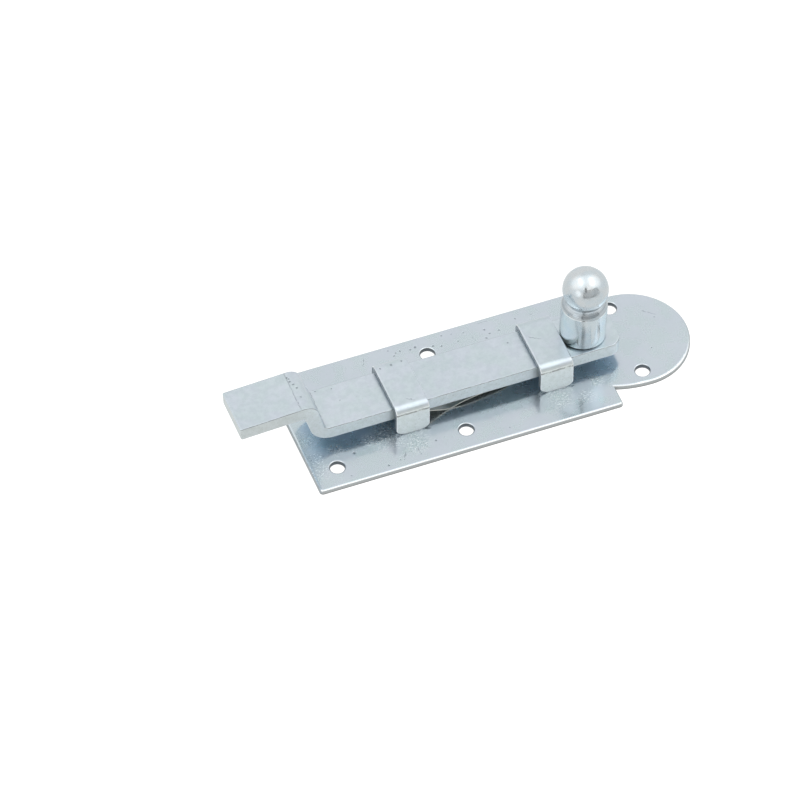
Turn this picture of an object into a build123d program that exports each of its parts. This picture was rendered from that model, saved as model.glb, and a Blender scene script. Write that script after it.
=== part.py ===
from build123d import *
import os
from math import atan, cos, degrees, hypot, radians, sin, sqrt, tan

# Cranked barrel bolt: a flat bar with a cranked nose slides in two folded
# straps on a sheet-steel base plate.  Millimetres.
# +X runs along the bar towards the knob, +Z points out of the plate and the
# origin is on the plate's back face, halfway along its length, on the axis of
# the bar.  The bolt is drawn thrown: the nose stands past the square end.
# Positions named *_x are measured from the plate's square end.

# ---- driving dimensions -------------------------------------------------
plate_length = 140.0
plate_width = 51.9
plate_t = 1.6
step_x = 107.2            # where the wide part ends and the round end begins
lobe_x = 119.8            # centre of the round end
lobe_r = 20.2             # its radius
lobe_root_half = 18.1     # half width of the round end where it meets the step
plate_corner_r = 1.2
plate_edge_roll = 0.9     # rolled upper edge left by the blanking punch

hole_r = 2.45             # screw holes, 4.9 mm
hole_roll = 0.55
hole_breakout = 0.1       # how much wider the hole is at the back
row_x1, row_x2, row_half = 8.9, 54.4, 17.75
end_hole_x, end_hole_half = 118.4, 14.75

bar_w = 17.5
bar_t = 5.0
bar_z = plate_t + 4.5     # underside of the bar
bar_edge = 0.35
nose_tip_x = -21.3
nose_droop = 3.0          # degrees, the nose falls slightly towards its tip
nose_mid_z = plate_t + 19.9   # middle of the nose's thickness, at x = 0
web_x, web_z = 4.6, plate_t + 13.5   # a point in the middle of the web
web_lean = 13.5           # degrees from upright
bend_inner = 1.3           # under the nose
bend_root = 2.2            # hollow between the web and the bar's top
bend_top = 4.8             # outer radius at the nose
bend_heel = 8.4            # outer radius at the foot of the web
web_thin = 0.35            # the web's lower face is drawn in by the pressing
tail_x = 113.8
tail_corner_r = 4.5
nose_corner_r = 0.6

strap_t = 2.0
strap_w = 11.7
strap_outer_half = 11.7
strap_outer_h = 11.85
strap_y = -0.6            # the bar has side play and lies nearer the back legs
bend_front, bend_back = 2.9, 3.1   # outer radii of the two folds
strap_front_x, strap_rear_x = 31.95, 83.0
leg_round = 2.0           # rise of the rounded leg ends at their corners
cut_edge = 0.45           # rounding of the strip's long cut edges
tab_w = 5.0
tab_fit = 0.04

knob_x = 102.6
knob_lean = 2.0           # degrees, riveted slightly out of square
knob_r = 7.8
knob_body_h = 13.75       # plain cylinder, up to the fine groove
shoulder_h = 14.2         # foot of the rounded shoulder
shoulder_r = 7.75
shoulder_arc = 4.64       # its radius in section
shoulder_from, shoulder_to = 18.0, 53.5   # degrees its surface leans back
ball_r = 7.75
ball_h = 21.4             # ball centre above the knob's foot
spigot_r = 3.5
spigot_head_r = 4.6
spigot_fit = 0.02

spring_t = 0.4
spring_w = 9.0
spring_skew = 7.0         # degrees in plan

travel = 23.0             # from thrown to drawn

x0 = -plate_length / 2    # the square end in the part's own frame
os.makedirs("parts", exist_ok=True)


def moved(shape, x=0.0, y=0.0, z=0.0):
    return Pos(x, y, z) * shape


def soften(shape, edges, radius):
    """Round the given edges, with a smaller radius where they are tight."""
    for r in (radius, radius * 0.7, radius * 0.45):
        try:
            out = fillet(edges, r)
            if out.is_valid:
                return out
        except Exception:
            pass
    print("edges left sharp", radius)
    return shape


# ---- base plate ----------------------------------------------------------
# A rectangle whose far end steps in to a round lobe.  The lobe is a true arc
# at its end and flattens along its flanks back to the step.
half = plate_width / 2
drop = lobe_r - lobe_root_half
run = lobe_x - step_x
flank_r = (run ** 2 + drop ** 2) / (2 * drop)
a = atan(run / (flank_r - drop)) / 2
flank_mid = (lobe_x - flank_r * sin(a), flank_r - lobe_r - flank_r * cos(a))
lower = (
    Line((0, -half), (step_x, -half))
    + Line((step_x, -half), (step_x, -lobe_root_half))
    + ThreePointArc((step_x, -lobe_root_half), flank_mid, (lobe_x, -lobe_r))
    + ThreePointArc((lobe_x, -lobe_r), (lobe_x + lobe_r, 0), (lobe_x, lobe_r))
    + ThreePointArc((lobe_x, lobe_r), (flank_mid[0], -flank_mid[1]), (step_x, lobe_root_half))
    + Line((step_x, lobe_root_half), (step_x, half))
    + Line((step_x, half), (0, half))
    + Line((0, half), (0, -half))
)
outline = make_face(lower)
corners = [v for v in outline.vertices()
           if abs(abs(v.Y) - half) < 0.01]
outline = fillet(corners, plate_corner_r)
plate = extrude(outline, plate_t)
plate = soften(plate, plate.faces().sort_by(Axis.Z)[-1].outer_wire().edges(), plate_edge_roll)

holes = [(x, s * row_half) for x in (row_x1, row_x2) for s in (-1, 1)]
holes += [(end_hole_x, s * end_hole_half) for s in (-1, 1)]
for hx, hy in holes:
    with BuildSketch(Plane.XZ) as hole_section:
        with BuildLine():
            Polyline((0, -0.5), (hole_r + hole_breakout, -0.5),
                     (hole_r + hole_breakout, 0), (hole_r, plate_t * 0.35),
                     (hole_r, plate_t - hole_roll))
            ThreePointArc((hole_r, plate_t - hole_roll),
                          (hole_r + hole_roll * (1 - sqrt(0.5)),
                           plate_t - hole_roll * (1 - sqrt(0.5))),
                          (hole_r + hole_roll, plate_t))
            Polyline((hole_r + hole_roll, plate_t), (hole_r + hole_roll, plate_t + 0.5),
                     (0, plate_t + 0.5), (0, -0.5))
        make_face()
    cutter = revolve(hole_section.sketch, Axis.Z)
    plate -= moved(cutter, hx, hy, 0)

leg_mid_y = strap_outer_half - strap_t / 2
for sx in (strap_front_x, strap_rear_x):
    for s in (-1, 1):
        slot = Box(tab_w + 2 * tab_fit, strap_t + 2 * tab_fit, plate_t * 3)
        plate -= moved(slot, sx + strap_w / 2, strap_y + s * leg_mid_y, 0)
base_plate = moved(plate, x0)


# ---- straps --------------------------------------------------------------
# Each strap is a strip folded over the bar.  Its legs end in a curve, and a
# tab in the middle of each goes through the plate and is staked flush at the
# back.
def make_strap():
    b = strap_outer_half
    h = plate_t + strap_outer_h
    with BuildSketch(Plane.YZ) as section:
        with BuildLine():
            FilletPolyline((-b, 0), (-b, h), (b, h), (b, 0), radius=[bend_front, bend_back])
            Line((b, 0), (b - strap_t, 0))
            FilletPolyline((b - strap_t, 0), (b - strap_t, h - strap_t),
                           (strap_t - b, h - strap_t), (strap_t - b, 0),
                           radius=[bend_back - strap_t, bend_front - strap_t])
            Line((strap_t - b, 0), (-b, 0))
        make_face()
    strap = extrude(section.sketch, strap_w)
    # side view of one leg: everything below the curve is cut off but the tab
    w = strap_w
    side = w / 2 - tab_w / 2
    leg_arc = (side ** 2 + leg_round ** 2) / (2 * leg_round)
    sweep = 2 * atan(leg_round / side)
    with BuildSketch(Plane.XZ) as waste:
        with BuildLine():
            Polyline((w / 2 - tab_w / 2, plate_t), (w / 2 - tab_w / 2, -1),
                     (-1, -1), (-1, plate_t + leg_round), (0, plate_t + leg_round))
            ThreePointArc((0, plate_t + leg_round),
                          (side - leg_arc * sin(sweep / 2),
                           plate_t + leg_arc * (1 - cos(sweep / 2))),
                          (side, plate_t))
        make_face()
    left = extrude(waste.sketch, 40, both=True)
    right = moved(mirror(left, Plane.YZ), w)
    strap = strap - left - right
    # soft cut edges on the visible outside
    top_h = plate_t + leg_round + 0.2
    rim = [e for e in strap.edges()
           if e.center().Z > top_h and e.geom_type in (GeomType.LINE, GeomType.CIRCLE)
           and (abs(e.center().X) < 1e-6 or abs(e.center().X - w) < 1e-6)]
    outside = [e for e in rim if abs(e.center().Y) > b - strap_t / 2 or e.center().Z > h - strap_t / 2
               or (e.geom_type == GeomType.CIRCLE and e.length > 3.0)]
    return soften(strap, outside, cut_edge)


strap = make_strap()
front_strap = moved(strap, x0 + strap_front_x, strap_y)
rear_strap = moved(strap, x0 + strap_rear_x, strap_y)


# ---- bolt bar ------------------------------------------------------------
# Flat bar with two bends of opposite hand, so that the nose runs parallel to
# the body but further from the plate.  The side outline is worked out from
# the middle line of the thickness and extruded across the width.
def line_through(p, ang):
    return p, (cos(ang), sin(ang))


def meet(l1, l2):
    (p, d), (q, e) = l1, l2
    det = d[0] * -e[1] + d[1] * e[0]
    t = ((q[0] - p[0]) * -e[1] + (q[1] - p[1]) * e[0]) / det
    return p[0] + t * d[0], p[1] + t * d[1]


def shifted(line, off):
    (p, d) = line
    return (p[0] - d[1] * off, p[1] + d[0] * off), d


body_z = bar_z + bar_t / 2
nose_line = line_through((0.0, nose_mid_z), radians(nose_droop))
web_line = line_through((web_x, web_z), radians(-(90 - web_lean)))
body_line = line_through((50.0, body_z), 0.0)
tip_line = line_through((nose_tip_x, nose_mid_z), radians(90 + nose_droop))
h = bar_t / 2
upper_pts = [meet(shifted(nose_line, h), tip_line), meet(shifted(nose_line, h), shifted(web_line, h)),
             meet(shifted(web_line, h), shifted(body_line, h)), (tail_x, body_z + h)]
hw = h - web_thin
lower_pts = [meet(shifted(nose_line, -h), tip_line), meet(shifted(nose_line, -h), shifted(web_line, -hw)),
             meet(shifted(web_line, -hw), shifted(body_line, -h)), (tail_x, body_z - h)]
with BuildSketch(Plane.XZ) as bar_side:
    with BuildLine():
        FilletPolyline(*upper_pts, radius=[bend_top, bend_root])
        Line(upper_pts[-1], lower_pts[-1])
        FilletPolyline(*lower_pts[::-1], radius=[bend_heel, bend_inner])
        Line(lower_pts[0], upper_pts[0])
    make_face()
bar = extrude(bar_side.sketch, bar_w / 2, both=True)
tip_edges = [e for e in bar.edges()
             if e.center().X < nose_tip_x + 0.5 and abs(abs(e.center().Y) - bar_w / 2) < 0.01
             and e.length < bar_t + 0.1]
tail_edges = [e for e in bar.edges()
              if e.center().X > tail_x - 0.01 and abs(abs(e.center().Y) - bar_w / 2) < 0.01]
bar = fillet(tip_edges, nose_corner_r)
tail_edges = [e for e in bar.edges()
              if e.center().X > tail_x - 0.01 and abs(abs(e.center().Y) - bar_w / 2) < 0.01]
bar = fillet(tail_edges, tail_corner_r)
long_edges = [e for e in bar.edges()
              if not (abs(e.center().Y) < bar_w / 2 - 0.01
                      and nose_tip_x + 0.6 < e.center().X < tail_x - 0.5
                      and abs(e.bounding_box().size.Y - bar_w) < 0.5)]
upright = [e for e in long_edges if e.geom_type == GeomType.LINE
           and e.bounding_box().size.X < 0.6 and e.bounding_box().size.Y < 0.01]
long_edges = [e for e in long_edges if e not in upright]
bar = soften(bar, long_edges, bar_edge)
# hole for the knob's spigot, countersunk underneath for the peened end
drill = Cylinder(spigot_r + spigot_fit, 40)
sink = Cone(spigot_head_r + spigot_fit, spigot_r + spigot_fit, 1.1,
            align=(Align.CENTER, Align.CENTER, Align.MIN))
bar -= moved(drill, knob_x, 0, bar_z)
bar -= moved(sink, knob_x, 0, bar_z)
bolt_bar = moved(bar, x0)


# ---- knob ----------------------------------------------------------------
# One turned piece: a plain cylinder, a fine groove, a rounded shoulder and a
# ball standing straight on it.  A spigot below goes through the bar and is
# peened over flush with the bar's underside.
def on_shoulder(deg):
    a0, a1 = radians(shoulder_from), radians(deg)
    return (shoulder_r - shoulder_arc * (cos(a0) - cos(a1)),
            shoulder_h + shoulder_arc * (sin(a1) - sin(a0)))


joint_r, joint_z = on_shoulder(shoulder_to)
ball_foot_z = ball_h - sqrt(ball_r ** 2 - joint_r ** 2)
with BuildSketch(Plane.XZ) as turned:
    with BuildLine():
        Polyline((0, 0), (knob_r - 0.4, 0), (knob_r, 0.4), (knob_r, knob_body_h),
                 (knob_r - 0.25, knob_body_h + 0.25), (shoulder_r, shoulder_h))
        ThreePointArc((shoulder_r, shoulder_h),
                      on_shoulder((shoulder_from + shoulder_to) / 2), (joint_r, joint_z))
        Line((joint_r, joint_z), (joint_r, ball_foot_z))
        ThreePointArc((joint_r, ball_foot_z),
                      (ball_r * cos(radians(5)), ball_h + ball_r * sin(radians(5))),
                      (0, ball_h + ball_r))
        Line((0, ball_h + ball_r), (0, 0))
    make_face()
head = revolve(turned.sketch, Axis.Z)
foot = knob_r - 0.5
head = moved(Rot(0, knob_lean, 0) * moved(head, -foot), foot)
rise = foot * sin(radians(knob_lean))
spigot = Cylinder(spigot_r, bar_t + rise + 0.6, align=(Align.CENTER, Align.CENTER, Align.MIN))
peen = Cone(spigot_head_r, spigot_r, 1.1, align=(Align.CENTER, Align.CENTER, Align.MIN))
knob = head + moved(spigot, 0, 0, -bar_t) + moved(peen, 0, 0, -bar_t)
knob = moved(knob, x0 + knob_x, 0, bar_z + bar_t)


# ---- leaf spring ---------------------------------------------------------
# A thin strip fixed flat to the plate near the rear strap.  It arches, comes
# back down to the plate and then rises to press on the underside of the bar,
# which gives the bolt its drag.
flat_x1, flat_x2 = 78.0, 82.4
low = [(flat_x1, 0.0), (72.5, 0.75), (66.0, 1.22), (60.5, 1.15), (56.3, 0.80), (52.3, 0.08),
       (49.0, 0.95), (46.0, 2.35), (43.4, 3.45), (41.6, 3.86)]
high = []
for i, (x, z) in enumerate(low):
    xa, za = low[max(i - 1, 0)]
    xb, zb = low[min(i + 1, len(low) - 1)]
    if i == 0:
        nx, nz = 0.0, 1.0
    else:
        n = hypot(xb - xa, zb - za)
        nx, nz = (zb - za) / n, -(xb - xa) / n
    high.append((x + nx * spring_t, z + nz * spring_t))
with BuildSketch(Plane.XZ) as leaf_side:
    with BuildLine():
        Spline(*low, tangents=[(-1, 0), (-1, 0.05)])
        Line(low[-1], high[-1])
        Spline(*high[::-1], tangents=[(1, -0.05), (1, 0)])
        Polyline(high[0], (flat_x2, spring_t), (flat_x2, 0), low[0])
    make_face()
leaf = extrude(leaf_side.sketch, spring_w / 2, both=True)
pivot_x, pivot_y = 52.0, -7.55 + spring_w / 2
leaf = moved(Rot(0, 0, spring_skew) * moved(leaf, -pivot_x), pivot_x)
leaf_spring = moved(leaf, x0, pivot_y, plate_t)

nodes = {
    "base_plate": base_plate,
    "front_strap": front_strap,
    "rear_strap": rear_strap,
    "leaf_spring": leaf_spring,
    "bolt_bar": bolt_bar,
    "knob": knob,
}
for name, shape in nodes.items():
    solids = shape.solids()
    body = solids[0] if len(solids) == 1 else Compound(solids)
    body.label = name
    export_step(body, f"parts/{name}.step")
    bb = body.bounding_box()
    print(f"{name:12s} solids {len(solids)} volume {body.volume:9.1f} "
          f"x {bb.min.X:7.2f} {bb.max.X:7.2f} y {bb.min.Y:7.2f} {bb.max.Y:7.2f} "
          f"z {bb.min.Z:6.2f} {bb.max.Z:6.2f} valid {body.is_valid}")
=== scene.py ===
import math

import bpy
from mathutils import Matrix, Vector

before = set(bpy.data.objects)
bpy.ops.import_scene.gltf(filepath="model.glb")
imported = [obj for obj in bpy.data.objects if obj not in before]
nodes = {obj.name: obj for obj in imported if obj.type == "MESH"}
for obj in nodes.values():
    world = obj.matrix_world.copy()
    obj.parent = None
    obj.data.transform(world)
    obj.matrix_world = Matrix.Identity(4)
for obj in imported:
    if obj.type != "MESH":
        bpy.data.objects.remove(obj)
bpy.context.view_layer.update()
scene = bpy.context.scene

# ---------------------------------------------------------------- camera
AZ, EL = math.radians(-21.09), math.radians(49.16)
TARGET = Vector((-0.03143, 0.00205, 0.0016))
DISTANCE = 2.5287
BACK = Vector((math.sin(AZ) * math.cos(EL), -math.cos(AZ) * math.cos(EL), math.sin(EL)))
cam_data = bpy.data.cameras.new("camera")
cam_data.sensor_width = 36.0
cam_data.lens = 343.76
cam_data.clip_start, cam_data.clip_end = 0.05, 60.0
cam = bpy.data.objects.new("camera", cam_data)
cam.location = TARGET + BACK * DISTANCE
cam.rotation_mode = "QUATERNION"
cam.rotation_quaternion = (-BACK).to_track_quat("-Z", "Y")
scene.collection.objects.link(cam)
scene.camera = cam

scene.view_settings.view_transform = "Standard"
scene.view_settings.look = "None"


# ---------------------------------------------------------------- node helpers
class Graph:
    """Short calls for building a node tree."""

    def __init__(self, tree):
        self.tree = tree
        tree.nodes.clear()

    def node(self, kind, **values):
        n = self.tree.nodes.new(kind)
        for k, v in values.items():
            setattr(n, k, v)
        return n

    def put(self, value, socket):
        if isinstance(value, bpy.types.NodeSocket):
            self.tree.links.new(value, socket)
        else:
            socket.default_value = value

    def math(self, op, a, b=0.0, c=None, clamp=False):
        n = self.node("ShaderNodeMath", operation=op, use_clamp=clamp)
        self.put(a, n.inputs[0])
        self.put(b, n.inputs[1])
        if c is not None:
            self.put(c, n.inputs[2])
        return n.outputs[0]

    def vec(self, op, a, b=(0.0, 0.0, 0.0), scale=None):
        n = self.node("ShaderNodeVectorMath", operation=op)
        self.put(a, n.inputs[0])
        if scale is None:
            self.put(b, n.inputs[1])
        else:
            self.put(scale, n.inputs["Scale"])
        return n.outputs["Value"] if op in ("DOT_PRODUCT", "LENGTH", "DISTANCE") else n.outputs[0]

    def ramp(self, value, a, b, lo=0.0, hi=1.0, smooth=True):
        n = self.node("ShaderNodeMapRange", interpolation_type="SMOOTHSTEP" if smooth else "LINEAR", clamp=True)
        self.put(value, n.inputs["Value"])
        self.put(a, n.inputs["From Min"])
        self.put(b, n.inputs["From Max"])
        self.put(lo, n.inputs["To Min"])
        self.put(hi, n.inputs["To Max"])
        return n.outputs["Result"]

    def noise(self, vector, scale, detail=2.0, rough=0.5, distort=0.0):
        n = self.node("ShaderNodeTexNoise")
        self.put(vector, n.inputs["Vector"])
        self.put(scale, n.inputs["Scale"])
        self.put(detail, n.inputs["Detail"])
        self.put(rough, n.inputs["Roughness"])
        self.put(distort, n.inputs["Distortion"])
        return n.outputs["Fac"]

    def mapping(self, vector, loc=(0, 0, 0), rot=(0, 0, 0), scale=(1, 1, 1)):
        n = self.node("ShaderNodeMapping")
        self.put(vector, n.inputs["Vector"])
        n.inputs["Location"].default_value = loc
        n.inputs["Rotation"].default_value = rot
        n.inputs["Scale"].default_value = scale
        return n.outputs["Vector"]

    def mix(self, fac, a, b, blend="MIX"):
        n = self.node("ShaderNodeMix", data_type="RGBA", blend_type=blend, clamp_factor=True)
        self.put(fac, n.inputs[0])
        for value, socket in ((a, n.inputs[6]), (b, n.inputs[7])):
            self.put(value if isinstance(value, bpy.types.NodeSocket) else (*value, 1.0), socket)
        return n.outputs[2]


# ---------------------------------------------------------------- studio
def direction(az, el):
    a, e = math.radians(az), math.radians(el)
    return (math.sin(a) * math.cos(e), -math.cos(a) * math.cos(e), math.sin(e))


world = bpy.data.worlds.new("studio")
world.use_nodes = True
scene.world = world
w = Graph(world.node_tree)
d = w.node("ShaderNodeTexCoord").outputs["Generated"]
split = w.node("ShaderNodeSeparateXYZ")
w.put(d, split.inputs[0])
dx, dy, dz = split.outputs


def lobe(az, el, end, full, strength):
    """A soft round patch of light (or of dark, where strength is below 0)."""
    dot = w.vec("DOT_PRODUCT", d, direction(az, el))
    return w.ramp(dot, math.cos(math.radians(end)), math.cos(math.radians(full)), 0.0, strength)


def window(u, v, u0, u1, v0, v1, soft, side):
    """1 inside the rectangle u0..u1, v0..v1 of a wall or ceiling; side is above 0 on that wall."""
    a = w.math("ABSOLUTE", w.math("SUBTRACT", u, (u0 + u1) / 2))
    b = w.math("ABSOLUTE", w.math("SUBTRACT", v, (v0 + v1) / 2))
    m = w.math("MULTIPLY", w.ramp(a, (u1 - u0) / 2 + soft, (u1 - u0) / 2, 0.0, 1.0), w.ramp(b, (v1 - v0) / 2 + soft, (v1 - v0) / 2, 0.0, 1.0))
    return w.math("MULTIPLY", m, w.ramp(side, 0.02, 0.06, 0.0, 1.0))


up = w.math("MAXIMUM", dz, 0.05)
cu, cv = w.math("DIVIDE", dx, up), w.math("DIVIDE", dy, up)
ahead = w.math("MAXIMUM", w.math("MULTIPLY", dy, -1.0), 0.05)
fu, fv = w.math("DIVIDE", dx, ahead), w.math("DIVIDE", dz, ahead)
front = w.math("MULTIPLY", dy, -1.0)

parts = [
    lobe(0.0, 78.0, 52.0, 22.0, 0.34),        # white ceiling
    lobe(80.0, 50.0, 40.0, 10.0, 0.47),       # lamp side, right
    lobe(-108.0, 50.0, 42.0, 10.0, 0.42),     # lamp side, left
    lobe(-60.0, 17.0, 18.0, 9.0, 0.45),       # small soft box, front left
    lobe(-21.1, 49.0, 7.5, 4.0, -0.72),       # the lens opening
]
for u0, u1, v0, v1, k in ((-0.52, -0.36, -0.15, 0.42, 0.75), (0.44, 0.60, -0.50, 0.12, 0.75)):   # two strip lights
    parts.append(w.math("MULTIPLY", window(cu, cv, u0, u1, v0, v1, 0.10, dz), k))
opening = window(fu, fv, -0.62, 1.15, 0.04, 0.84, 0.10, front)
inside = window(fu, fv, -0.46, 1.00, 0.20, 0.76, 0.10, front)
level = 0.97
for p in parts:
    level = w.math("ADD", level, p)
level = w.math("MULTIPLY", level, w.math("SUBTRACT", 1.0, w.math("MULTIPLY", w.math("SUBTRACT", opening, w.math("MULTIPLY", inside, 0.42)), 0.60)))
aside = w.math("ABSOLUTE", w.vec("DOT_PRODUCT", d, direction(-21.1 + 90.0, 0.0)))
slit = w.math("MULTIPLY", w.ramp(aside, 0.115, 0.065), w.ramp(w.vec("DOT_PRODUCT", d, direction(-21.1, 0.0)), 0.15, 0.30))
slit = w.math("MULTIPLY", slit, w.math("MULTIPLY", w.ramp(dz, 0.40, 0.60), w.ramp(dz, 0.89, 0.81)))
level = w.math("MULTIPLY", level, w.math("MULTIPLY_ADD", slit, -0.55, 1.0))      # the slit in the tent over the lens
level = w.math("MAXIMUM", level, 0.02)
tint = w.vec("SCALE", (1.0, 1.0, 1.0), scale=level)
lit = w.node("ShaderNodeBackground")
w.put(tint, lit.inputs["Color"])
plain = w.node("ShaderNodeBackground")
plain.inputs["Color"].default_value = (1, 1, 1, 1)
seen = w.node("ShaderNodeLightPath").outputs["Is Camera Ray"]
both = w.node("ShaderNodeMixShader")
w.put(seen, both.inputs[0])
w.put(lit.outputs[0], both.inputs[1])
w.put(plain.outputs[0], both.inputs[2])
out = w.node("ShaderNodeOutputWorld")
w.put(both.outputs[0], out.inputs["Surface"])


def new_material(name):
    m = bpy.data.materials.new(name)
    m.use_nodes = True
    return m, Graph(m.node_tree)


floor_mat, g = new_material("pale_floor")
p = g.node("ShaderNodeBsdfPrincipled")
p.inputs["Base Color"].default_value = (0.22, 0.22, 0.22, 1)
p.inputs["Roughness"].default_value = 0.9
p.inputs["Specular IOR Level"].default_value = 0.0
g.put(g.mix(g.node("ShaderNodeLightPath").outputs["Is Camera Ray"], (0.68, 0.69, 0.69), (1.0, 1.0, 1.0)), p.inputs["Emission Color"])
p.inputs["Emission Strength"].default_value = 0.95
out = g.node("ShaderNodeOutputMaterial")
g.put(p.outputs[0], out.inputs["Surface"])
me = bpy.data.meshes.new("floor")
R = 12.0
me.from_pydata([(-R, -R, -2e-5), (R, -R, -2e-5), (R, R, -2e-5), (-R, R, -2e-5)], [], [(0, 1, 2, 3)])
floor = bpy.data.objects.new("floor", me)
floor.data.materials.append(floor_mat)
scene.collection.objects.link(floor)


# ---------------------------------------------------------------- zinc
def times(color, k):
    k = (k, k, k) if isinstance(k, float) else k
    return tuple(min(1.0, c * f) for c, f in zip(color, k))


def surface(g):
    """Millimetre coordinates, the same without height, and the three parts of the surface's direction."""
    coord = g.node("ShaderNodeTexCoord")
    mm = g.vec("SCALE", coord.outputs["Object"], scale=1000.0)
    parts = g.node("ShaderNodeSeparateXYZ")
    g.put(coord.outputs["Normal"], parts.inputs[0])
    return mm, g.vec("MULTIPLY", mm, (1.0, 1.0, 0.0)), parts.outputs


def spots(g, plan, places):
    """1 at the middle of each small spot (x, y, radius), 0 outside it."""
    total = None
    for x, y, r in places:
        m = g.ramp(g.vec("DISTANCE", plan, (x, y, 0.0)), 1.05 * r, 0.42 * r, 0.0, 1.0)
        total = m if total is None else g.math("MAXIMUM", total, m)
    return total


def lines(g, plan, places):
    """1 on each short line (x0, y0, x1, y1, half width), a scratch mark or a painted shadow line, 0 off it."""
    total = None
    for x0, y0, x1, y1, half in places:
        length = math.hypot(x1 - x0, y1 - y0)
        ux, uy = (x1 - x0) / length, (y1 - y0) / length
        rel = g.vec("SUBTRACT", plan, ((x0 + x1) / 2, (y0 + y1) / 2, 0.0))
        along = g.math("ABSOLUTE", g.vec("DOT_PRODUCT", rel, (ux, uy, 0.0)))
        across = g.math("ABSOLUTE", g.vec("DOT_PRODUCT", rel, (-uy, ux, 0.0)))
        m = g.math("MULTIPLY", g.ramp(along, length / 2 + 0.3, length / 2 - 0.3, 0.0, 1.0), g.ramp(across, half, half * 0.3, 0.0, 1.0))
        total = m if total is None else g.math("MAXIMUM", total, m)
    return total


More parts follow.
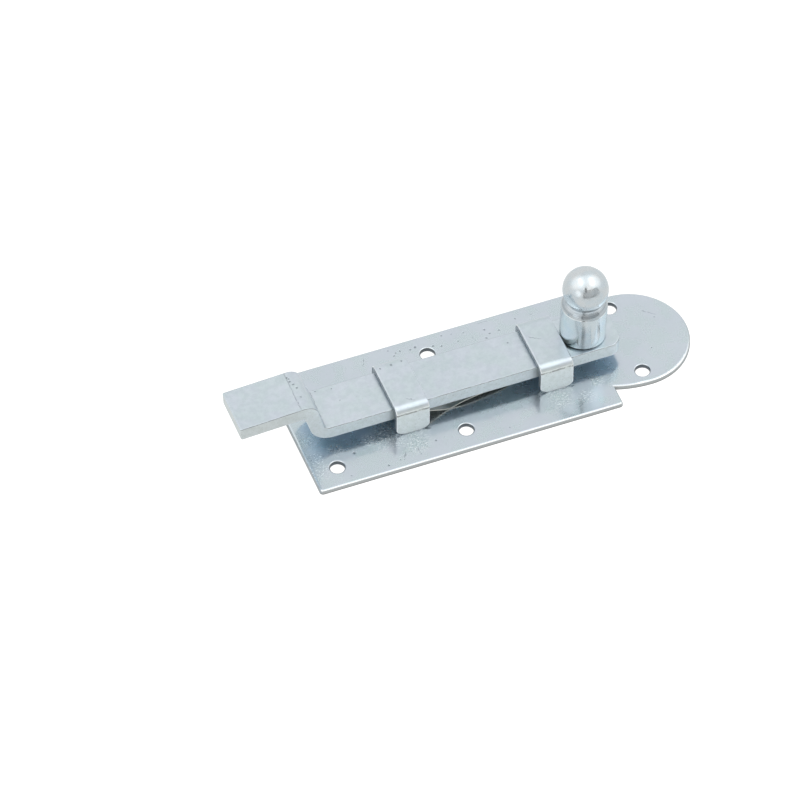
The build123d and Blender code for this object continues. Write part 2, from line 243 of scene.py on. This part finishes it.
def zinc(name, base, rough, side, under, sharp=0.35, grain=1.0, rim=None, foot=None, crease=None,
         pits=(), scratch_and_shadow_lines=(), worn=(), bores=()):
    """Bright zinc plating: a hazy and a sharper gloss together, orange peel, faint tint patches,
    duller on sheared or folded sides, with a side colour that is partly painted light and shade, a painted-light
    underside colour, pits, scratch marks, frosted areas, painted contact-shadow lines and painted shade in the bores.
    rim picks the painted highlights and shade on the rounded edges, foot is the height under which the sides get a
    painted contact shadow, crease is the height of the painted shade line where a fold ends."""
    m, g = new_material(name)
    mm, plan, (nx, ny, nz) = surface(g)
    wob = g.node("ShaderNodeTexNoise")
    g.put(mm, wob.inputs["Vector"])
    g.put(1.1, wob.inputs["Scale"])
    plan = g.vec("ADD", plan, g.vec("MULTIPLY", g.vec("SUBTRACT", wob.outputs["Color"], (0.5, 0.5, 0.5)), (0.9, 0.9, 0.0)))
    where = g.node("ShaderNodeSeparateXYZ")
    g.put(mm, where.inputs[0])
    height_mm = where.outputs[2]
    upright, ax, ay = (g.math("ABSOLUTE", v) for v in (nz, nx, ny))
    flank = g.ramp(upright, 0.80, 0.30, 0.0, 1.0)
    if rim == "bar":
        flank = g.math("MULTIPLY", flank, g.ramp(nx, 0.5, 0.8, 1.0, 0.0))
    top = g.ramp(nz, 0.60, 0.85, 0.0, 1.0)
    below = g.ramp(nz, -0.4, -0.8, 0.0, 1.0)

    cloud = g.noise(mm, 0.05, 3.0, 0.55)
    patch = g.noise(g.mapping(mm, loc=(31, 7, 3)), 0.16, 3.0, 0.6)
    mottle = g.noise(g.mapping(mm, loc=(11, 5, 17)), 0.55, 3.0, 0.6)
    roll = g.noise(g.mapping(mm, scale=(0.06, 1.4, 1.4)), 1.0, 3.0, 0.6)
    fine = g.noise(mm, 1.25, 3.0, 0.65)
    speck = g.noise(g.mapping(mm, loc=(3, 41, 9)), 1.7, 2.0, 0.5)
    peel = g.noise(mm, 0.45, 2.0, 0.5)
    peel_a = g.noise(g.mapping(mm, loc=(2, 8, 6)), 0.35, 2.0, 0.5)

    c = g.mix(g.ramp(patch, 0.36, 0.64), times(base, (0.985, 1.006, 0.988)), times(base, (1.012, 0.990, 1.014)))
    c = g.mix(g.ramp(cloud, 0.35, 0.65), g.mix(1.0, c, (0.965, 0.97, 0.975), "MULTIPLY"), c)
    c = g.mix(g.ramp(roll, 0.60, 0.75, 0.0, 0.35), c, g.mix(1.0, c, (0.90, 0.91, 0.92), "MULTIPLY"))
    # the upright faces' own tone, set per part: partly a duller sheared and folded finish, partly painted light and
    # shade by face direction
    flank_c = g.mix(g.ramp(mottle, 0.35, 0.65), times(side, (0.95, 0.955, 0.94)), times(side, (1.04, 1.04, 1.04)))
    flank_c = g.mix(g.ramp(speck, 0.62, 0.70, 0.0, 0.45), flank_c, times(side, 0.62))
    c = g.mix(flank, c, flank_c)
    # painted light: downward faces get the paler, bluer under colour, standing in for light and reflection in the gap
    # under the bar
    c = g.mix(below, c, under)
    if rim == "bar":        # painted shade as a fine dark line along the upper long edges, a painted highlight along the lower ones
        over = g.math("MULTIPLY", g.ramp(nz, 0.25, 0.45), g.ramp(ay, 0.25, 0.45))
        c = g.mix(g.math("MULTIPLY", over, g.ramp(mottle, 0.35, 0.55, 0.25, 0.85)), c, times(side, 0.35))
        c = g.mix(g.math("MULTIPLY", g.ramp(nz, -0.15, -0.40), g.ramp(ay, 0.30, 0.50)), c, (0.95, 0.97, 0.97))
        # the sides darker toward the nose end
        c = g.mix(g.math("MULTIPLY", flank, g.ramp(where.outputs[0], -64.0, -73.0)), c, g.mix(1.0, c, (0.86, 0.85, 0.83), "MULTIPLY"))
    elif rim == "strap":    # painted highlight along the sheared and rounded edges
        cut = g.math("MULTIPLY", g.ramp(ax, 0.20, 0.42), g.ramp(ax, 0.97, 0.88))
        cut = g.math("MAXIMUM", g.math("MULTIPLY", cut, g.ramp(nz, 0.80, 0.45)), g.math("MULTIPLY", g.ramp(nz, -0.12, -0.35), g.ramp(ay, 0.25, 0.45)))
        c = g.mix(g.math("MULTIPLY", cut, g.ramp(mottle, 0.30, 0.45, 0.35, 1.0)), c, (0.97, 0.99, 0.99))
        # painted shade: the faces towards -X are made dark, standing in for the shadowed gap beside the strap's edge
        c = g.mix(g.ramp(nx, -0.84, -0.95), c, g.mix(g.ramp(mottle, 0.4, 0.6), (0.17, 0.20, 0.23), (0.32, 0.36, 0.39)))
    elif rim == "plate":
        # painted highlight on the rolled lip, painted shade on the steeper part of the edge and on the faces towards
        # +X and -X
        lip = g.math("MULTIPLY", g.ramp(nz, 0.50, 0.68), g.ramp(nz, 0.96, 0.84))
        c = g.mix(g.math("MULTIPLY", lip, g.ramp(ay, 0.12, 0.30)), c, (0.80, 0.825, 0.83))
        c = g.mix(g.math("MULTIPLY", g.ramp(nz, 0.50, 0.30), g.ramp(mottle, 0.35, 0.60, 0.15, 0.45)), c, (0.36, 0.38, 0.38))
        c = g.mix(g.math("MULTIPLY", g.ramp(ax, 0.45, 0.70), g.ramp(mottle, 0.35, 0.60, 0.5, 0.85)), c, (0.34, 0.38, 0.40))
    if foot is not None:
        # painted contact shadow low on the sides, where they meet the floor
        low = g.math("MULTIPLY", g.ramp(height_mm, foot + 0.12, foot - 0.12), g.ramp(upright, 0.80, 0.40))
        c = g.mix(g.math("MULTIPLY", low, 0.8), c, times(side, (0.42, 0.41, 0.40)))
    if crease is not None:
        # painted shade: a dark broken line where the fold ends
        at_fold = g.ramp(g.math("ABSOLUTE", g.math("SUBTRACT", height_mm, g.math("MULTIPLY_ADD", peel_a, 0.9, crease - 0.45))), 0.42, 0.12)
        at_fold = g.math("MULTIPLY", g.math("MULTIPLY", at_fold, g.ramp(ny, -0.4, -0.7)), g.ramp(mottle, 0.36, 0.52, 0.10, 0.85))
        c = g.mix(at_fold, c, times(side, 0.30))
    if rim in ("bar", "strap"):
        wiped = g.mix(g.ramp(mottle, 0.34, 0.66), (0.955, 0.960, 0.962), (1.040, 1.036, 1.034))
        c = g.mix(top, c, g.mix(1.0, c, wiped, "MULTIPLY"))
        c = g.mix(g.math("MULTIPLY", top, g.ramp(speck, 0.58, 0.68, 0.0, 0.10)), c, (0.40, 0.43, 0.45))
    c = g.mix(g.math("MULTIPLY", top, g.ramp(speck, 0.70, 0.76, 0.0, 0.35)), c, g.mix(1.0, c, (0.62, 0.64, 0.66), "MULTIPLY"))

    height = g.math("MULTIPLY_ADD", fine, 0.008 * grain, g.math("MULTIPLY", peel, 0.020 * grain))
    r = g.math("ADD", rough, g.ramp(patch, 0.3, 0.7, -0.04, 0.04))
    frost = 0.0
    if worn:
        w_mask = g.math("MULTIPLY", spots(g, plan, worn), top)
        coarse = g.noise(g.mapping(mm, loc=(5, 9, 1)), 2.2, 3.0, 0.75)
        height = g.math("MULTIPLY_ADD", g.math("MULTIPLY", coarse, 0.030), w_mask, height)
        soft_mask = g.math("MULTIPLY", spots(g, plan, [(x, y, 1.25 * rad) for x, y, rad in worn]), top)
        frost = g.math("MULTIPLY", soft_mask, g.ramp(g.noise(g.mapping(mm, rot=(0, 0, 0.5), scale=(1.0, 2.0, 1.0)), 1.2, 4.0, 0.75), 0.50, 0.60, 0.0, 0.9))
        c = g.mix(frost, c, (0.72, 0.77, 0.79))
        # painted shadow and dark reflection of the bar on the plate, in the worn patches, stronger toward the bar
        painted_bar_shadow = g.math("MULTIPLY", g.ramp(coarse, 0.55, 0.61, 0.0, 0.75), g.ramp(where.outputs[1], -15.0, -11.5, 0.15, 1.0))
        c = g.mix(g.math("MULTIPLY", w_mask, painted_bar_shadow), c, (0.15, 0.19, 0.23))
    if pits:
        p_mask = g.math("MULTIPLY", spots(g, plan, pits), top)
        height = g.math("MULTIPLY_ADD", p_mask, -0.07, height)
        c = g.mix(g.math("MULTIPLY", p_mask, 0.68), c, (0.165, 0.19, 0.21))
    # scratch marks, and on the plate painted contact-shadow lines at the strap legs' feet
    if scratch_and_shadow_lines:
        s_mask = g.math("MULTIPLY", g.math("MULTIPLY", lines(g, plan, scratch_and_shadow_lines), top), g.ramp(mottle, 0.38, 0.52, 0.15, 1.0))
        height = g.math("MULTIPLY_ADD", s_mask, -0.03, height)
        c = g.mix(g.math("MULTIPLY", s_mask, 0.55), c, (0.24, 0.27, 0.30))
    if bores:
        flat = g.vec("MULTIPLY", mm, (1.0, 1.0, 0.0))
        near = None
        for x, y, rad in bores:
            dist = g.vec("DISTANCE", flat, (x, y, 0.0))
            near = dist if near is None else g.math("MINIMUM", near, dist)
        # painted shade in and around each hole, standing in for the dark hole walls
        bore = g.ramp(near, bores[0][2] + 0.36, bores[0][2] + 0.10, 0.0, 1.0)
        c = g.mix(bore, c, (0.13, 0.15, 0.17))
        r = g.math("MULTIPLY_ADD", bore, 0.25, r)
    bump = g.node("ShaderNodeBump")
    bump.inputs["Strength"].default_value = 1.0
    bump.inputs["Distance"].default_value = 0.001
    g.put(height, bump.inputs["Height"])

    dull = g.math("MAXIMUM", g.math("MAXIMUM", flank, below), frost)
    metal = g.math("MULTIPLY_ADD", dull, -0.34, 1.0)
    shaders = []
    for extra, flat_gloss in ((0.08, 0.46), (-0.10, 0.30)):
        p = g.node("ShaderNodeBsdfPrincipled")
        g.put(metal, p.inputs["Metallic"])
        g.put(c, p.inputs["Base Color"])
        own = g.math("ADD", r, extra)
        g.put(g.math("ADD", g.math("MULTIPLY", own, g.math("SUBTRACT", 1.0, dull)), g.math("MULTIPLY", dull, flat_gloss), clamp=True), p.inputs["Roughness"])
        g.put(bump.outputs[0], p.inputs["Normal"])
        shaders.append(p)
    both = g.node("ShaderNodeMixShader")
    both.inputs[0].default_value = sharp
    g.put(shaders[0].outputs[0], both.inputs[1])
    g.put(shaders[1].outputs[0], both.inputs[2])
    out = g.node("ShaderNodeOutputMaterial")
    g.put(both.outputs[0], out.inputs["Surface"])
    return m


def turned(name, base, split_z):
    """Bright zinc on a turned knob: fine turning lines below split_z, a polished ball above it."""
    m, g = new_material(name)
    mm, plan, (nx, ny, nz) = surface(g)
    parts = g.node("ShaderNodeSeparateXYZ")
    g.put(mm, parts.inputs[0])
    z = parts.outputs[2]
    patch = g.noise(mm, 0.28, 3.0, 0.6)
    haze = g.noise(g.mapping(mm, loc=(9, 4, 2)), 0.55, 3.0, 0.65)
    rings = g.noise(g.mapping(mm, scale=(0.02, 0.02, 2.6)), 1.0, 3.0, 0.7)
    speck = g.noise(mm, 2.2, 2.0, 0.6)
    c = g.mix(g.ramp(patch, 0.35, 0.65), times(base, (0.95, 0.985, 1.0)), times(base, (1.03, 1.01, 0.99)))
    band = g.math("MULTIPLY", g.ramp(z, split_z - 1.8, split_z - 1.2, 0.0, 1.0), g.ramp(z, split_z + 2.2, split_z + 1.2, 0.0, 1.0))
    c = g.mix(g.ramp(rings, g.math("MULTIPLY_ADD", band, -0.12, 0.60), g.math("MULTIPLY_ADD", band, -0.12, 0.72), 0.0, g.math("MULTIPLY_ADD", band, 0.60, 0.30)), c, g.mix(1.0, c, (0.66, 0.68, 0.70), "MULTIPLY"))
    c = g.mix(g.ramp(speck, 0.70, 0.78, 0.0, 0.4), c, g.mix(1.0, c, (0.6, 0.6, 0.6), "MULTIPLY"))
    c = g.mix(band, g.mix(1.0, c, (1.04, 1.05, 1.05), "MULTIPLY"), g.mix(1.0, c, (0.82, 0.84, 0.855), "MULTIPLY"))
    fine = g.noise(mm, 1.1, 2.0, 0.5)
    bump = g.node("ShaderNodeBump")
    bump.inputs["Strength"].default_value = 1.0
    bump.inputs["Distance"].default_value = 0.001
    turning = g.math("MULTIPLY_ADD", band, 0.022, 0.007)
    dents = g.math("MULTIPLY", g.noise(g.mapping(mm, loc=(6, 1, 4)), 0.42, 3.0, 0.6), g.ramp(z, split_z, split_z + 3.0, 0.0, 0.022))
    g.put(g.math("ADD", g.math("MULTIPLY_ADD", fine, 0.006, g.math("MULTIPLY", rings, turning)), dents), bump.inputs["Height"])

    tangent = g.node("ShaderNodeTangent", direction_type="RADIAL", axis="Z")
    lathe = g.node("ShaderNodeBsdfPrincipled")
    lathe.inputs["Metallic"].default_value = 1.0
    lathe.inputs["Anisotropic"].default_value = 0.8
    lathe.inputs["Anisotropic Rotation"].default_value = 0.25
    g.put(c, lathe.inputs["Base Color"])
    g.put(g.ramp(haze, 0.3, 0.7, 0.10, 0.17), lathe.inputs["Roughness"])
    g.put(bump.outputs[0], lathe.inputs["Normal"])
    g.put(tangent.outputs[0], lathe.inputs["Tangent"])
    ball = g.node("ShaderNodeBsdfPrincipled")
    ball.inputs["Metallic"].default_value = 1.0
    g.put(g.mix(1.0, c, (0.96, 0.95, 0.95), "MULTIPLY"), ball.inputs["Base Color"])
    g.put(g.ramp(haze, 0.38, 0.62, 0.11, 0.30), ball.inputs["Roughness"])
    g.put(bump.outputs[0], ball.inputs["Normal"])
    both = g.node("ShaderNodeMixShader")
    g.put(g.ramp(z, split_z - 0.3, split_z + 0.3, 0.0, 1.0), both.inputs[0])
    g.put(lathe.outputs[0], both.inputs[1])
    g.put(ball.outputs[0], both.inputs[2])
    out = g.node("ShaderNodeOutputMaterial")
    g.put(both.outputs[0], out.inputs["Surface"])
    return m


PALE = (0.571, 0.637, 0.679)
HOLES = [(x, y, 2.45) for x in (-61.1, -15.6) for y in (-17.75, 17.75)] + [(48.4, y, 2.45) for y in (-14.75, 14.75)]
PITS = [(-8.5, 23.5, 0.45), (-5.1, 23.1, 0.35), (-1.1, 22.3, 0.40), (6.0, 20.9, 0.55), (10.4, 19.0, 0.45), (5.3, 17.3, 0.50),
        (7.1, 18.6, 0.35), (-4.0, 19.3, 0.40), (-12.6, 20.3, 0.55), (-10.0, 19.3, 0.50), (17.4, 21.8, 0.40), (-20.3, 21.6, 0.55),
        (-18.4, 21.9, 0.60), (-27.4, 23.6, 0.40), (-26.3, 20.8, 0.50), (-23.7, 22.2, 0.40), (-25.4, 21.9, 0.35),
        (-53.8, -14.0, 0.60), (-26.6, -18.5, 0.45), (-45.0, -23.0, 0.45), (-40.6, -22.2, 0.35), (-58.0, -23.0, 0.35),
        (24.0, -19.0, 0.35), (-2.0, -22.0, 0.35), (61.0, 6.0, 0.40), (55.0, -6.5, 0.35), (-62.5, 21.0, 0.45)]
SCRATCHES = [(1.0, 19.3, 1.6, 17.4, 0.28), (5.2, 24.4, 8.2, 24.2, 0.25), (-36.2, 23.3, -37.5, 20.2, 0.25), (22.0, 22.2, 23.8, 21.6, 0.25),
             (-37.6, -19.4, -39.4, -22.6, 0.28), (-33.6, -19.4, -33.2, -22.8, 0.24), (9.0, 15.6, 16.0, 16.3, 0.22), (58.0, 10.0, 62.0, 6.5, 0.2)]
WORN = [(-41.0, -8.0, 4.6), (-43.5, -12.0, 4.4), (-39.0, -13.8, 3.8), (-47.0, -10.5, 3.0), (27.0, -18.5, 3.2), (32.5, -13.5, 2.6), (-66.5, -12.0, 4.0), (-66.5, -3.0, 4.0), (-59.5, -11.0, 3.0), (-67.0, -17.0, 4.5), (-33.0, -17.0, 5.0), (18.5, -16.5, 4.6)]
BAR_PITS = [(-69.8, 6.4, 0.60), (-69.3, 5.6, 0.45), (-69.3, 4.4, 0.60), (-68.6, 2.9, 0.45), (-68.0, 1.1, 0.55), (-68.1, -3.1, 0.40),
            (-59.2, 8.0, 0.35), (-53.7, 7.2, 0.40), (-52.8, 1.5, 0.30), (8.0, 5.0, 0.35), (37.5, -4.5, 0.30)]
# two dark lines across the bar's top near the nose
BAR_CROSS_LINES = [(-69.9, 8.4, -70.0, -8.4, 0.30), (-60.9, 8.2, -61.6, -8.2, 0.24)]
# painted contact shadow: a dark line along the foot of each strap leg on the plate
LEG_FOOT_SHADOWS = [(x, y, x + 11.7, y, 0.5) for x in (-38.05, 13.0) for y in (-12.55, 11.35)]
# painted light: the paler, bluer colour of downward faces, standing in for light reflected into the gap under the bar
UNDERSIDE_LIGHT = (0.70, 0.85, 0.96)
plate_zinc = zinc("plate_zinc", PALE, 0.20, (0.47, 0.49, 0.495), UNDERSIDE_LIGHT, sharp=0.5, rim="plate", foot=0.35, pits=PITS,
                  scratch_and_shadow_lines=SCRATCHES + LEG_FOOT_SHADOWS, worn=WORN, bores=HOLES)
bar_zinc = zinc("bar_zinc", PALE, 0.27, (0.685, 0.745, 0.77), UNDERSIDE_LIGHT, rim="bar", pits=BAR_PITS, scratch_and_shadow_lines=BAR_CROSS_LINES)
strap_zinc = zinc("strap_zinc", PALE, 0.28, (0.78, 0.83, 0.83), UNDERSIDE_LIGHT, grain=1.4, rim="strap", crease=11.15,
                  pits=[(-36.3, 7.6, 0.5), (-32.4, 7.9, 0.6), (-28.6, 8.2, 0.5), (-31.6, -8.4, 0.35)],
                  scratch_and_shadow_lines=[(14.4, 3.0, 18.2, 0.6, 0.25), (-33.0, -7.6, -30.4, -9.3, 0.22)])
knob_zinc = turned("knob_zinc", (0.60, 0.645, 0.67), 26.9)
spring_metal = zinc("spring_metal", (0.62, 0.60, 0.54), 0.3, (0.60, 0.58, 0.52), (0.62, 0.60, 0.54))

FINISH = {
    "base_plate": plate_zinc,
    "front_strap": strap_zinc,
    "rear_strap": strap_zinc,
    "bolt_bar": bar_zinc,
    "knob": knob_zinc,
    "leaf_spring": spring_metal,
}
for name, material in FINISH.items():
    o = nodes[name]
    for s in o.material_slots:
        s.material = material
    if not o.material_slots:
        o.data.materials.append(material)
